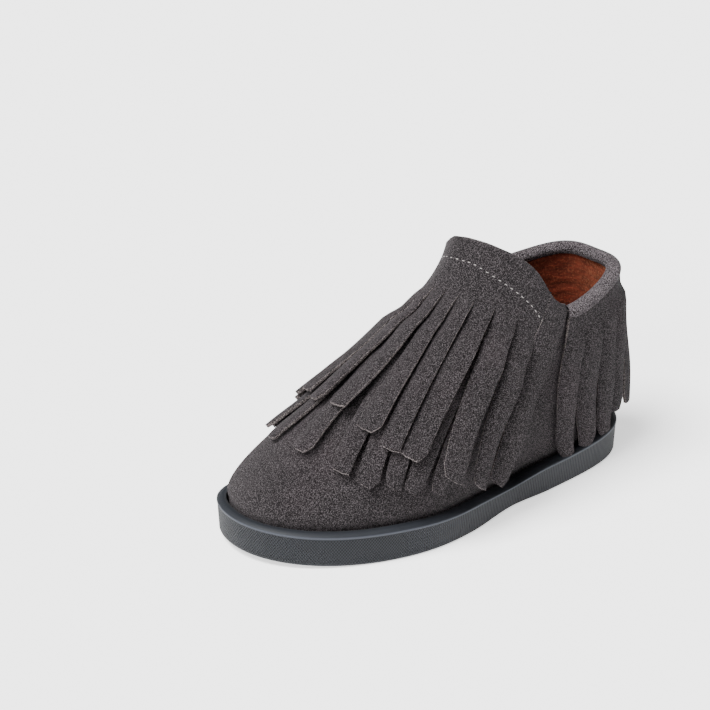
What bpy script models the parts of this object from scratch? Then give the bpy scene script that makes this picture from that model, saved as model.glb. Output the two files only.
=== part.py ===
"""A child's left ankle boot in suede with fringe, as an assembly of named pieces.

Metres, +Z up. The origin is on the floor under the middle of the heel's tread.
+X points to the toe and +Y to the outer side of the foot.
"""

import functools
import math

import bmesh
import bpy
import numpy as np
from mathutils import Matrix, Vector

# Sole unit
SOLE_LENGTH = 0.192
BALL_WIDTH = 0.082
HEEL_REACH = 0.030
SOLE_HEIGHT = 0.0140
DECK_HEIGHT = 0.0080
RIM_WIDTH = 0.0036
TOE_SPRING = 0.0026
ARCH_RISE = 0.0012
WAIST_DIP = 0.0024
GROOVE_DEPTH = 0.0015
GROOVE_WIDTH = 0.0026
GROOVE_PITCH = 0.0078
TREAD_MARGIN = 0.0110

# Upper
WALL = 0.0026
FRONT_HEIGHT = 0.1050
SIDE_HEIGHT = 0.0790
BACK_HEIGHT = 0.0845
COLLAR_LENGTH = 0.0780
COLLAR_WIDTH = 0.0580
COLLAR_BACK = 0.0065
INSOLE_THICKNESS = 0.0030

# Rolled edge of the rear collar
ROLL_HEIGHT = 0.0055
ROLL_PROUD = 0.0016

# Fringe
SUEDE = 0.0014
FRONT_BAND = 0.0205
LOWER_TOP = 0.0440
LOWER_BAND = 0.0520
HEEL_BAND = 0.0130
TIP_CUT = 0.0030
TIER_RAMP = 0.0100
NOTCH_SLIT = 0.0008
BAND_SLANT = 0.0080

# Zip
TAPE_WIDTH = 0.0096
ZIP_MARGIN = 0.0004
TAPE_THICKNESS = 0.0008
ZIP_DROP = 0.0560
CHAIN_WIDTH = 0.0042
CHAIN_PROUD = 0.0010
TOOTH_PITCH = 0.0030
TOOTH_CROWN = 0.80
TOOTH_VALLEY = 0.60
SLIDER_DROP = 0.0075
SLIDER_LENGTH = 0.0090
SLIDER_WIDTH = 0.0070
SLIDER_PLATE = 0.0012
LUG_WIDTH = 0.0010
PIN_RADIUS = 0.0006
PULL_WIDTH = 0.0060
PULL_LENGTH = 0.0165
PULL_THICKNESS = 0.0012
EYE_WIDTH = 0.0024
EYE_WALL = 0.0007
SHANK_LENGTH = 0.0040
PIN_PLACE = -0.0020

# Fits
GAP = 0.0003
SKIN_GAP = 0.0005
MERGE = 0.00002

# Fineness of the facets, and steps along the curves that directions are read from
EDGE_STEPS = 72
LINE_STEPS = 64
ROLL_STEPS = 28
PIN_SIDES = 12
OUTLINE_STEP = 0.02
LINE_TURN = 0.03
PLACE_TURN = 0.10

# Counts
GROOVES_HEEL = 4
GROOVES_FRONT = 6

# Outline of the sole seen from above, from the heel round the outer side to the toe and back.
SOLE_OUTLINE = (
    # along: share of the length from the heel, across: share of the ball width, + outer side
    (0.000, 0.000),
    (0.055, 0.235),
    (0.200, 0.351),
    (0.420, 0.422),
    (0.640, 0.510),
    (0.820, 0.427),
    (0.945, 0.240),
    (1.000, -0.042),
    (0.955, -0.348),
    (0.840, -0.465),
    (0.680, -0.485),
    (0.440, -0.375),
    (0.200, -0.335),
    (0.055, -0.225),
)

# How the sole changes from the heel to the toe.
SOLE_LEVELS = (
    # along: share of the length from the heel
    # arch: share of the arch's rise, dip: share of the waist's dip in the top line
    # rim: the rim's width as a share of its width at the toe
    (0.00, 0.0, 0.0, 1.00),
    (0.30, 0.0, 0.5, 1.10),
    (0.43, 1.0, 1.0, 1.35),
    (0.56, 0.0, 0.6, 1.15),
    (0.80, 0.0, 0.0, 1.00),
    (1.00, 0.0, 0.0, 1.00),
)
SPRING_START = 0.78
FRONT_TREAD_START = 0.600

# Side of the sole from the floor to the rim's top, and over it down to the deck.
SOLE_SIDE = (
    # level: share of the rim's height, inset: share of the rim's width
    (0.00, 0.40),
    (0.05, 0.24),
    (0.12, 0.22),
    (0.14, 0.27),
    (0.84, 0.08),
    (0.86, 0.01),
    (0.91, 0.00),
    (1.00, 0.55),
)

# Lines of the last, each from the sole's edge up to the collar.
LAST_LINES = (
    # foot: place on the sole's outline
    # along, across: collar point, as shares of the collar's length and width
    # level: share of the rise from the collar's side to its front or back
    # rise: share of the front height, belly: share of the ball width, for how the wall leaves the sole
    # reach, spread: shares of the ball width, drop: share of the front height, for how it meets the collar
    (0.00, 0.000, 0.00, 1.00, 0.26, 0.060, -0.020, 0.000, 0.20),
    (1.30, 0.110, 0.33, 0.80, 0.26, 0.050, -0.010, 0.030, 0.20),
    (2.75, 0.560, 0.50, 0.00, 0.24, 0.045, 0.030, 0.040, 0.20),
    (3.75, 0.745, 0.46, 0.62, 0.25, 0.045, 0.070, 0.050, 0.24),
    (4.75, 0.900, 0.31, 1.04, 0.24, 0.045, 0.080, 0.045, 0.27),
    (5.85, 0.965, 0.15, 1.12, 0.22, 0.045, 0.075, 0.020, 0.29),
    (7.00, 0.985, 0.00, 1.10, 0.21, 0.045, 0.065, 0.000, 0.30),
    (8.15, 0.915, -0.16, 0.92, 0.18, 0.045, 0.055, -0.010, 0.33),
    (9.25, 0.820, -0.31, 0.74, 0.18, 0.040, 0.060, -0.025, 0.32),
    (10.30, 0.690, -0.44, 0.45, 0.21, 0.035, 0.060, -0.040, 0.25),
    (11.25, 0.550, -0.50, 0.00, 0.24, 0.030, 0.030, -0.030, 0.20),
    (12.70, 0.110, -0.33, 0.80, 0.26, 0.040, -0.010, -0.030, 0.20),
)
LINES = len(LAST_LINES)
NOTCH_LINE = 2
ZIP_LINE = 10
LOWER_FIRST = 3.20
LOWER_LAST = 8.90

# Strips of the front fringe's upper tier, from the notch on the outer side round to the zip.
FRONT_STRIPS = (
    # tip: place round the last, reach: length from the collar as a share of the front height
    # width: share of the room between its neighbours' tips
    # lift: how far the tip stands off, in thicknesses of the suede, clip: the corner cut off, -1 to 1
    (2.56, 0.745, 0.86, 0.6, -1),
    (2.94, 0.820, 0.76, 0.9, 1),
    (3.41, 0.872, 0.90, 0.5, 1),
    (4.04, 0.883, 0.84, 0.8, -1),
    (4.40, 0.889, 0.92, 0.4, 1),
    (4.87, 0.869, 0.86, 0.9, -1),
    (5.62, 0.834, 0.80, 0.6, 1),
    (6.16, 0.847, 0.82, 0.8, -1),
    (6.75, 0.830, 0.84, 0.5, 1),
    (7.20, 0.860, 0.88, 0.9, -1),
    (7.66, 0.875, 0.88, 0.5, 1),
    (8.08, 0.860, 0.84, 0.8, 1),
    (8.57, 0.825, 0.84, 0.5, -1),
    (9.03, 0.780, 0.84, 0.8, 1),
    (9.47, 0.690, 0.84, 0.6, 1),
)

# Strips of the front fringe's lower tier, in the same columns.
LOWER_STRIPS = (
    (3.48, 0.940, 0.90, 0.4, 1),
    (3.82, 0.985, 0.92, 0.7, -1),
    (4.10, 1.002, 0.92, 0.4, 1),
    (4.45, 1.044, 0.90, 0.8, -1),
    (4.93, 1.045, 0.80, 0.5, 1),
    (5.66, 1.046, 0.74, 0.7, -1),
    (6.41, 1.057, 0.76, 0.5, 1),
    (7.04, 1.030, 0.82, 0.8, -1),
    (7.53, 1.010, 0.90, 0.5, 1),
    (7.93, 0.970, 0.92, 0.7, -1),
    (8.28, 0.940, 0.92, 0.4, 1),
    (8.63, 0.880, 0.90, 0.7, -1),
)

# Strips of the fringe round the heel, from the zip round the back to the notch, in the same columns.
HEEL_STRIPS = (
    (-1.50, 0.600, 0.86, 0.5, 1),
    (-1.27, 0.610, 0.86, 0.9, -1),
    (-1.04, 0.600, 0.86, 0.6, 1),
    (-0.80, 0.590, 0.86, 1.0, -1),
    (-0.56, 0.570, 0.86, 0.7, 1),
    (-0.32, 0.580, 0.86, 1.1, -1),
    (-0.08, 0.560, 0.86, 0.8, 1),
    (0.16, 0.560, 0.86, 1.0, 1),
    (0.41, 0.560, 0.86, 0.8, -1),
    (0.66, 0.600, 0.86, 2.4, 1),
    (0.91, 0.600, 0.86, 0.7, -1),
    (1.16, 0.625, 0.86, 1.0, 1),
    (1.40, 0.625, 0.86, 0.6, -1),
    (1.63, 0.615, 0.86, 0.8, 1),
)
BAND_ROWS = 2
STRIP_ROWS = 6

# Levels of the upper's rings, as shares of each line from the collar to the rim of the sole.
OUTER_LEVELS = (0.0, 0.06, 0.15, 0.25, 0.35, 0.45, 0.55, 0.65, 0.74, 0.82, 0.89, 0.95, 1.0)
INNER_LEVELS = (1.0, 0.90, 0.78, 0.64, 0.48, 0.30, 0.12, 0.0)

# Section of the collar's rolled edge, from its top out and down to its foot.
ROLL_SECTION = (
    # down: share of the roll's height, proud: share of how far it stands out
    (0.00, 0.00),
    (0.03, 0.60),
    (0.25, 1.00),
    (0.65, 1.00),
    (0.93, 0.60),
    (1.00, 0.00),
)


def clamp(value, low=0.0, high=1.0):
    return max(low, min(high, value))


def ease(share):
    """A smooth step from 0 to 1."""
    share = clamp(share)
    return share * share * (3 - 2 * share)


def mix(a, b, share):
    return a + (b - a) * share


def smooth_loop(rows):
    """A closed curve of even curvature through the rows, which lie one unit apart."""
    points = np.array(rows, float)
    count = len(points)
    unit = np.eye(count)
    system = 4 * unit + np.roll(unit, 1, 0) + np.roll(unit, -1, 0)
    chords = np.roll(points, -1, 0) - np.roll(points, 1, 0)
    slopes = np.linalg.solve(system, 3 * chords)

    def at(place):
        here = math.floor(place)
        s = place - here
        here = here % count
        after = (here + 1) % count
        return (
            (2 * s**3 - 3 * s**2 + 1) * points[here]
            + (s**3 - 2 * s**2 + s) * slopes[here]
            + (3 * s**2 - 2 * s**3) * points[after]
            + (s**3 - s**2) * slopes[after]
        )

    return at


sole_outline = smooth_loop(SOLE_OUTLINE)


def share_along(x):
    return (x + HEEL_REACH) / SOLE_LENGTH


def sole_level(along, column):
    """One column of the table of the sole's levels, eased between its rows."""
    along = clamp(along)
    for low, high in zip(SOLE_LEVELS, SOLE_LEVELS[1:]):
        if along <= high[0]:
            return mix(low[column], high[column], ease((along - low[0]) / (high[0] - low[0])))
    return SOLE_LEVELS[-1][column]


def toe_lift(along):
    return TOE_SPRING * clamp((along - SPRING_START) / (1 - SPRING_START)) ** 2


def underside(along):
    return ARCH_RISE * sole_level(along, 1) + toe_lift(along)


def deck_top(along):
    return DECK_HEIGHT + toe_lift(along)


def rim_top(along):
    return SOLE_HEIGHT - WAIST_DIP * sole_level(along, 2) + toe_lift(along)


def rim_width(along):
    return RIM_WIDTH * sole_level(along, 3)


def edge_point(place, inset):
    """A point in plan, an inset in from the sole's outline."""
    size = np.array((SOLE_LENGTH, BALL_WIDTH))
    here = sole_outline(place) * size
    run = (sole_outline(place + OUTLINE_STEP) - sole_outline(place - OUTLINE_STEP)) * size
    outward = np.array((-run[1], run[0])) / np.hypot(*run)
    return here - outward * inset - np.array((HEEL_REACH, 0))


def rim_point(place, share, extra, height):
    """A point at a share of the rim's width in from the outline, and at the height of a function."""
    width = rim_width(sole_outline(place)[0])
    plan = edge_point(place, share * width + extra)
    return np.array((*plan, height(share_along(plan[0]))))


last_loop = smooth_loop(
    [
        (
            foot - len(SOLE_OUTLINE) * number / LINES,
            COLLAR_BACK - HEEL_REACH + along * COLLAR_LENGTH,
            across * COLLAR_WIDTH,
            mix(SIDE_HEIGHT, FRONT_HEIGHT if NOTCH_LINE < number < ZIP_LINE else BACK_HEIGHT, level),
            rise * FRONT_HEIGHT,
            belly * BALL_WIDTH,
            reach * BALL_WIDTH,
            spread * BALL_WIDTH,
            drop * FRONT_HEIGHT,
        )
        for number, (foot, along, across, level, rise, belly, reach, spread, drop) in enumerate(LAST_LINES)
    ]
)


def foot_place(place):
    """The place on the sole's outline under a place round the last."""
    return last_loop(place)[0] + len(SOLE_OUTLINE) * place / LINES


@functools.lru_cache(maxsize=None)
def last_line(place):
    """Points down one line of the last from the collar to the rim, and their distance from the collar."""
    x, y, z, rise, belly, reach, spread, drop = last_loop(place)[1:]
    collar = np.array((x, y, z))
    under_collar = collar + np.array((reach, spread, -drop))
    foot = rim_point(foot_place(place), 1, GAP, rim_top)
    outward = rim_point(foot_place(place), 0, 0, rim_top) - foot
    outward[2] = 0
    over_foot = foot + outward / np.linalg.norm(outward) * belly + np.array((0, 0, rise))
    t = np.linspace(0, 1, LINE_STEPS + 1)[:, None]
    points = (
        (1 - t) ** 3 * collar
        + 3 * (1 - t) ** 2 * t * under_collar
        + 3 * (1 - t) * t**2 * over_foot
        + t**3 * foot
    )
    steps = np.linalg.norm(np.diff(points, axis=0), axis=1)
    return points, np.concatenate(([0], np.cumsum(steps)))


def line_length(place):
    return last_line(place % LINES)[1][-1]


def on_line(place, distance):
    points, run = last_line(place % LINES)
    return np.array([np.interp(distance, run, points[:, axis]) for axis in range(3)])


def surface_point(place, distance, lift=0.0):
    """A point on the upper's outer surface, or lifted off it, at a distance down from the collar."""
    step = line_length(place) / LINE_STEPS
    down = clamp(distance, step, line_length(place) - step)
    around = on_line(place + LINE_TURN, down) - on_line(place - LINE_TURN, down)
    downward = on_line(place, down + step) - on_line(place, down - step)
    normal = np.cross(around, downward)
    return on_line(place, distance) + normal / np.linalg.norm(normal) * lift


def place_beside(place, side, distance=0.0):
    """The place round the last that lies a real width to the side of another one."""
    turn = math.copysign(PLACE_TURN, side)
    span = np.linalg.norm(on_line(place + turn, distance) - on_line(place, distance))
    return place + side * PLACE_TURN / span


def paint(name, colour, roughness, metallic=0.0):
    look = bpy.data.materials.new(name)
    look.use_nodes = True
    surface = look.node_tree.nodes["Principled BSDF"]
    surface.inputs["Base Color"].default_value = (*colour, 1)
    surface.inputs["Roughness"].default_value = roughness
    surface.inputs["Metallic"].default_value = metallic
    look.diffuse_color = (*colour, 1)
    return look


def add_object(name, bm, collection, look=None):
    """An object from a mesh in the making."""
    mesh = bpy.data.meshes.new(name)
    bm.to_mesh(mesh)
    bm.free()
    if look:
        mesh.materials.append(look)
        mesh.shade_smooth()
        mesh.set_sharp_from_angle(angle=math.radians(40))
    thing = bpy.data.objects.new(name, mesh)
    collection.objects.link(thing)
    return thing


def add_cutter(name, bm, cutters):
    cutter = add_object(name, bm, cutters)
    cutter.hide_render = True
    cutter.display_type = "WIRE"
    return cutter


def combine(thing, other, operation):
    step = thing.modifiers.new(other.name, "BOOLEAN")
    step.operation = operation
    step.object = other


def join_rings(bm, rings, closed=False):
    """Faces between rings of points that each go once round a form."""
    loops = [[bm.verts.new(point) for point in ring] for ring in rings]
    count = len(loops[0])
    for low, high in zip(loops, loops[1:] + loops[:1] if closed else loops[1:]):
        for i in range(count):
            j = (i + 1) % count
            bm.faces.new((low[i], low[j], high[j], high[i]))
    return loops


def cap_across(bm, loop):
    """Faces across a long ring, from side to side, from its first point to the middle one."""
    count = len(loop)
    bm.faces.new((loop[0], loop[1], loop[-1]))
    for i in range(1, count // 2 - 1):
        bm.faces.new((loop[i], loop[i + 1], loop[count - i - 1], loop[count - i]))
    bm.faces.new((loop[count // 2 - 1], loop[count // 2], loop[count // 2 + 1]))


def close_up(bm):
    bmesh.ops.recalc_face_normals(bm, faces=bm.faces)
    return bm


def add_box(bm, size, place):
    made = bmesh.ops.create_cube(bm, size=1)
    bmesh.ops.scale(bm, vec=size, verts=made["verts"])
    bmesh.ops.translate(bm, vec=place, verts=made["verts"])


def add_rod(bm, radius, length, sides):
    """A rod along Y at the origin."""
    bmesh.ops.create_cone(
        bm,
        cap_ends=True,
        segments=sides,
        radius1=radius,
        radius2=radius,
        depth=length,
        matrix=Matrix.Rotation(math.pi / 2, 4, "X"),
    )


def make_outsole(parts, cutters):
    """The cup sole: its side, lip and deck, with grooves across the tread."""
    places = [len(SOLE_OUTLINE) * i / EDGE_STEPS for i in range(EDGE_STEPS)]

    def side_height(level):
        return lambda along: mix(underside(along), rim_top(along), level)

    rings = []
    for level, inset in SOLE_SIDE:
        rings.append([rim_point(place, inset, 0, side_height(level)) for place in places])
    rings.append([rim_point(place, 1, 0, rim_top) for place in places])
    rings.append([rim_point(place, 1, 0, deck_top) for place in places])
    bm = bmesh.new()
    loops = join_rings(bm, rings)
    cap_across(bm, loops[0])
    cap_across(bm, loops[-1])
    sole = add_object("outsole", close_up(bm), parts, paint("slate rubber", (0.055, 0.062, 0.080), 0.6))

    front = FRONT_TREAD_START * SOLE_LENGTH - HEEL_REACH
    centres = [(i - (GROOVES_HEEL - 1) / 2) * GROOVE_PITCH for i in range(GROOVES_HEEL)]
    centres += [front + i * GROOVE_PITCH for i in range(GROOVES_FRONT)]
    grooves = bmesh.new()
    for x in centres:
        inner, outer = tread_sides(x)
        depth = underside(share_along(x)) + GROOVE_DEPTH
        add_box(grooves, (GROOVE_WIDTH, outer - inner, 2 * depth), (x, (inner + outer) / 2, 0))
    combine(sole, add_cutter("tread_grooves", grooves, cutters), "DIFFERENCE")


def tread_sides(x):
    """How far a groove across the tread reaches to the inner and the outer side."""
    points = [edge_point(len(SOLE_OUTLINE) * i / EDGE_STEPS, TREAD_MARGIN) for i in range(EDGE_STEPS)]
    half = EDGE_STEPS // 2
    outer = np.interp(x, [p[0] for p in points[:half]], [p[1] for p in points[:half]])
    back = points[:half:-1]
    inner = np.interp(x, [p[0] for p in back], [p[1] for p in back])
    return inner, outer


def make_insole(parts):
    """A board on the deck, inside the upper's wall."""
    places = [len(SOLE_OUTLINE) * i / EDGE_STEPS for i in range(0, EDGE_STEPS, 2)]
    edge = GAP + WALL + 2 * SKIN_GAP

    def board_height(level):
        return lambda along: deck_top(along) + level

    rings = []
    for level in (GAP, GAP + INSOLE_THICKNESS):
        rings.append([rim_point(place, 1, edge, board_height(level)) for place in places])
    bm = bmesh.new()
    loops = join_rings(bm, rings)
    cap_across(bm, loops[0])
    cap_across(bm, loops[-1])
    add_object("insole", close_up(bm), parts, paint("rust insole", (0.40, 0.10, 0.03), 0.9))


def make_upper(parts, look):
    """The hollow suede shell on the last, open at the collar and underneath."""
    places = [LINES * i / EDGE_STEPS for i in range(EDGE_STEPS)]

    def wall_ring(share, lift):
        return [surface_point(place, share * line_length(place), lift) for place in places]

    def over_deck(along):
        return deck_top(along) + GAP

    def foot_ring(depth):
        return [rim_point(foot_place(place), 1, GAP + depth, over_deck) for place in places]

    rings = [wall_ring(share, 0) for share in OUTER_LEVELS]
    rings += [foot_ring(0), foot_ring(WALL)]
    rings += [wall_ring(share, -WALL) for share in INNER_LEVELS]
    bm = bmesh.new()
    join_rings(bm, rings, closed=True)
    add_object("upper", close_up(bm), parts, look)


def strip_rows(strip, start, root, sides, top, band, covers):
    """Rows of points down one strip, from the top of its band to its tip."""
    tip, reach, width, lift, clip = strip
    rows = BAND_ROWS + STRIP_ROWS
    grid = []
    for row in range(rows + 1):
        share = max(0, row - BAND_ROWS) / STRIP_ROWS
        down = min(row / BAND_ROWS, 1)
        left = mix(mix(start[0], root[0], down), sides[0], share)
        right = mix(mix(start[1], root[1], down), sides[1], share)
        line = []
        for across in (0, 0.5, 1):
            corner = across - 0.5
            cut = TIP_CUT * (clip * corner + abs(corner)) if row == rows else 0
            distance = mix(top, band, row / BAND_ROWS)
            if row > BAND_ROWS:
                distance = mix(band, reach * FRONT_HEIGHT - cut, share)
            off = SKIN_GAP + covers * ease((distance - LOWER_TOP + TIER_RAMP) / TIER_RAMP)
            off += lift * SUEDE * share**2
            line.append(surface_point(mix(left, right, across), distance, off))
        grid.append(line)
    return grid


def make_fringe(name, parts, look, ends, top, band, strips, slant=0.0, covers=0.0):
    """A tier of suede on the upper, whole down to its band and cut into strips below it."""
    bm = bmesh.new()
    count = len(strips)
    starts = [mix(*ends, number / count) for number in range(count + 1)]
    feet = (place_beside(ends[0], slant, band), ends[1])
    roots = [mix(*feet, number / count) for number in range(count + 1)]
    tips = [feet[0]] + [strip[0] for strip in strips] + [feet[1]]
    for number, strip in enumerate(strips):
        tip, half = strip[0], strip[2] / 2
        sides = (mix(tip, tips[number], half), mix(tip, tips[number + 2], half))
        start, root = starts[number : number + 2], roots[number : number + 2]
        grid = strip_rows(strip, start, root, sides, top, band, covers)
        points = [[bm.verts.new(point) for point in line] for line in grid]
        for high, low in zip(points, points[1:]):
            for column in (0, 1):
                bm.faces.new((high[column], high[column + 1], low[column + 1], low[column]))
    bmesh.ops.remove_doubles(bm, verts=bm.verts, dist=MERGE)
    fringe = add_object(name, bm, parts, look)
    cloth = fringe.modifiers.new("suede", "SOLIDIFY")
    cloth.thickness = SUEDE
    cloth.offset = 1


def heel_range():
    """The places where the suede round the heel starts and ends, at the zip and at the notch."""
    first = place_beside(ZIP_LINE, TAPE_WIDTH / 2 + ZIP_MARGIN) - LINES
    return first, place_beside(NOTCH_LINE, -NOTCH_SLIT / 2)


def front_range():
    """The places where the suede over the front starts and ends, at the notch and at the zip."""
    first = place_beside(NOTCH_LINE, NOTCH_SLIT / 2)
    return first, place_beside(ZIP_LINE, -TAPE_WIDTH / 2 - ZIP_MARGIN)


def make_collar_roll(parts, look):
    """The soft rolled edge round the rear of the collar, from the zip to the notch."""

    def section(place):
        lifts = [(down * ROLL_HEIGHT, GAP + proud * ROLL_PROUD) for down, proud in ROLL_SECTION]
        return [surface_point(place, distance, lift) for distance, lift in lifts]

    first, last = heel_range()
    rings = [section(mix(first, last, step / ROLL_STEPS)) for step in range(ROLL_STEPS + 1)]
    bm = bmesh.new()
    loops = join_rings(bm, rings)
    bm.faces.new(loops[0])
    bm.faces.new(loops[-1])
    add_object("collar_roll", close_up(bm), parts, look)


def make_zip_band(name, parts, look, section, distances):
    """A long band down the zip line, through sections that may change from row to row."""
    rings = [
        [surface_point(place_beside(ZIP_LINE, side, distance), distance, lift) for side, lift in section(row)]
        for row, distance in enumerate(distances)
    ]
    bm = bmesh.new()
    loops = join_rings(bm, rings)
    bm.faces.new(loops[0])
    bm.faces.new(loops[-1])
    add_object(name, close_up(bm), parts, look)


def make_zip(parts, look):
    """The tape and the closed chain of the zip, flat on the inner side."""
    half = TAPE_WIDTH / 2
    top = GAP + TAPE_THICKNESS

    def tape(row):
        return ((-half, GAP), (0, GAP), (half, GAP), (half, top), (0, top), (-half, top))

    def chain(row):
        side = CHAIN_WIDTH / 2
        crown = top + GAP + CHAIN_PROUD * (1 if row % 2 else TOOTH_VALLEY)
        flat = side * TOOTH_CROWN
        return ((-side, top + GAP), (side, top + GAP), (flat, crown), (-flat, crown))

    rows = round(ZIP_DROP / TOOTH_PITCH)
    make_zip_band("zip_tape", parts, look, tape, [ZIP_DROP * row / rows for row in range(rows + 1)])
    first = SLIDER_DROP + SLIDER_LENGTH / 2 + 3 * GAP
    teeth = 2 * round((ZIP_DROP - first) / TOOTH_PITCH)
    chain_rows = [first + row * TOOTH_PITCH / 2 for row in range(teeth)]
    make_zip_band("zip_chain", parts, look, chain, chain_rows)


def zip_frame():
    """The place and turn of the slider: X down the zip, Y along the pin, Z out of the boot."""
    down = surface_point(ZIP_LINE, SLIDER_DROP + SLIDER_LENGTH, 0) - surface_point(ZIP_LINE, SLIDER_DROP, 0)
    here = surface_point(ZIP_LINE, SLIDER_DROP, 0)
    out = surface_point(ZIP_LINE, SLIDER_DROP, 1) - here
    x_axis = Vector(down).normalized()
    y_axis = Vector(out).cross(x_axis).normalized()
    z_axis = x_axis.cross(y_axis)
    turn = Matrix((x_axis, y_axis, z_axis)).transposed().to_4x4()
    return Matrix.Translation(Vector(here)) @ turn


def slider_base():
    return GAP + TAPE_THICKNESS + SKIN_GAP


def pin_level():
    return slider_base() + SLIDER_PLATE + EYE_WALL + PIN_RADIUS + 2 * GAP


def make_slider(parts, cutters, look, place):
    """The slider on the chain, with two lugs and the pin that the pull turns on."""
    base = slider_base()
    pin_height = pin_level()
    bm = bmesh.new()
    add_box(bm, (SLIDER_LENGTH, SLIDER_WIDTH, SLIDER_PLATE), (0, 0, base + SLIDER_PLATE / 2))
    slider = add_object("zip_slider", bm, parts, look)
    slider.matrix_world = place
    for number, side in enumerate((-1, 1)):
        lug = bmesh.new()
        height = pin_height + 2 * PIN_RADIUS - base
        centre = side * (EYE_WIDTH / 2 + GAP + LUG_WIDTH / 2)
        add_box(lug, (4 * PIN_RADIUS, LUG_WIDTH, height), (PIN_PLACE, centre, base + height / 2))
        lug_cutter = add_cutter(f"slider_lug_{number + 1}", lug, cutters)
        lug_cutter.matrix_world = place
        combine(slider, lug_cutter, "UNION")
    pin = bmesh.new()
    add_rod(pin, PIN_RADIUS, EYE_WIDTH + 2 * GAP + LUG_WIDTH, PIN_SIDES)
    bmesh.ops.translate(pin, vec=(PIN_PLACE, 0, pin_height), verts=pin.verts)
    pin_cutter = add_cutter("slider_pin", pin, cutters)
    pin_cutter.matrix_world = place
    combine(slider, pin_cutter, "UNION")


def make_pull(parts, cutters, look, axis):
    """The pull tab, with its eye round the slider's pin."""
    eye_radius = PIN_RADIUS + GAP + EYE_WALL
    start = PIN_RADIUS + GAP + EYE_WALL / 2
    overlap = EYE_WALL / 4
    shank = bmesh.new()
    add_rod(shank, eye_radius, EYE_WIDTH, PIN_SIDES)
    pull = add_object("zip_pull", shank, parts, look)
    pull.matrix_world = axis
    neck = bmesh.new()
    add_box(neck, (SHANK_LENGTH, EYE_WIDTH, PULL_THICKNESS), (start + SHANK_LENGTH / 2, 0, 0))
    tab = bmesh.new()
    tab_length = PULL_LENGTH - SHANK_LENGTH
    tab_middle = start + SHANK_LENGTH + tab_length / 2 - overlap
    add_box(tab, (tab_length, PULL_WIDTH, PULL_THICKNESS), (tab_middle, 0, 0))
    corners = []
    for edge in tab.edges:
        low, high = sorted(vert.co.z for vert in edge.verts)
        if high - low > PULL_THICKNESS / 2:
            corners.append(edge)
    bmesh.ops.bevel(
        tab,
        geom=corners,
        offset=PULL_WIDTH / 4,
        offset_type="OFFSET",
        segments=2,
        profile=0.5,
        affect="EDGES",
        material=-1,
    )
    bore = bmesh.new()
    add_rod(bore, PIN_RADIUS + GAP, EYE_WIDTH + 2 * GAP, PIN_SIDES)
    for name, form, operation in (
        ("pull_neck", neck, "UNION"),
        ("pull_tab", tab, "UNION"),
        ("pull_bore", bore, "DIFFERENCE"),
    ):
        cutter = add_cutter(name, form, cutters)
        cutter.matrix_world = axis
        combine(pull, cutter, operation)


def main():
    for thing in list(bpy.data.objects):
        bpy.data.objects.remove(thing, do_unlink=True)
    parts = bpy.data.collections.new("fringe_ankle_boot")
    cutters = bpy.data.collections.new("cutters")
    bpy.context.scene.collection.children.link(parts)
    bpy.context.scene.collection.children.link(cutters)
    suede = paint("grey suede", (0.085, 0.075, 0.077), 0.95)
    make_outsole(parts, cutters)
    make_insole(parts)
    make_upper(parts, suede)
    lower_ends = (LOWER_FIRST, LOWER_LAST)
    front = (front_range(), 0, FRONT_BAND, FRONT_STRIPS, BAND_SLANT, SUEDE + SKIN_GAP)
    make_fringe("fringe_front_upper", parts, suede, *front)
    make_fringe("fringe_front_lower", parts, suede, lower_ends, LOWER_TOP, LOWER_BAND, LOWER_STRIPS)
    make_fringe("fringe_heel", parts, suede, heel_range(), ROLL_HEIGHT + GAP, HEEL_BAND, HEEL_STRIPS)
    make_collar_roll(parts, suede)
    dark = paint("black zip", (0.02, 0.02, 0.022), 0.5)
    metal = paint("dark nickel", (0.12, 0.12, 0.13), 0.35, 1.0)
    make_zip(parts, dark)
    place = zip_frame()
    make_slider(parts, cutters, metal, place)
    make_pull(parts, cutters, metal, place @ Matrix.Translation((PIN_PLACE, 0, pin_level())))


main()
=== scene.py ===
"""The looks of a child's left ankle boot in suede with fringe: suede, lining, rubber sole and zip.

Metres, +Z up. The origin is on the floor under the middle of the heel's tread.
+X points to the toe and +Y to the outer side of the foot.
"""

import math

import bmesh
import bpy
import numpy as np
from mathutils import Matrix, Vector, noise


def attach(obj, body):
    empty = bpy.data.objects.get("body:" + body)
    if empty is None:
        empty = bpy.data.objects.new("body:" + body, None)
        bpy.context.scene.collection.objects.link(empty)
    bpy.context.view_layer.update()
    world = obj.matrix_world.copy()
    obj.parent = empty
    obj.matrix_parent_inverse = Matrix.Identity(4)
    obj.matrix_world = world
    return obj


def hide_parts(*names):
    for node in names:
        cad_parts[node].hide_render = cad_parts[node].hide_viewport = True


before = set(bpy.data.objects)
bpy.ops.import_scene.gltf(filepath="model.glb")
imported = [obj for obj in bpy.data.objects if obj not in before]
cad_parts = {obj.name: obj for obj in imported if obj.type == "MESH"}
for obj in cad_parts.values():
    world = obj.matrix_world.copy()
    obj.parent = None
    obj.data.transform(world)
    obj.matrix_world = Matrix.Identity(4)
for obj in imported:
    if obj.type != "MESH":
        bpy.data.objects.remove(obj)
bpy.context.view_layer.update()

bl_info = {
    "name": "Fringe Ankle Boot",
    "version": (1, 0, 0),
    "blender": (4, 5, 0),
    "location": "3D View > Sidebar > Boot",
    "description": "The suede, fringe, lining, sole and zip of a child's ankle boot",
    "category": "Object",
}

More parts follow.
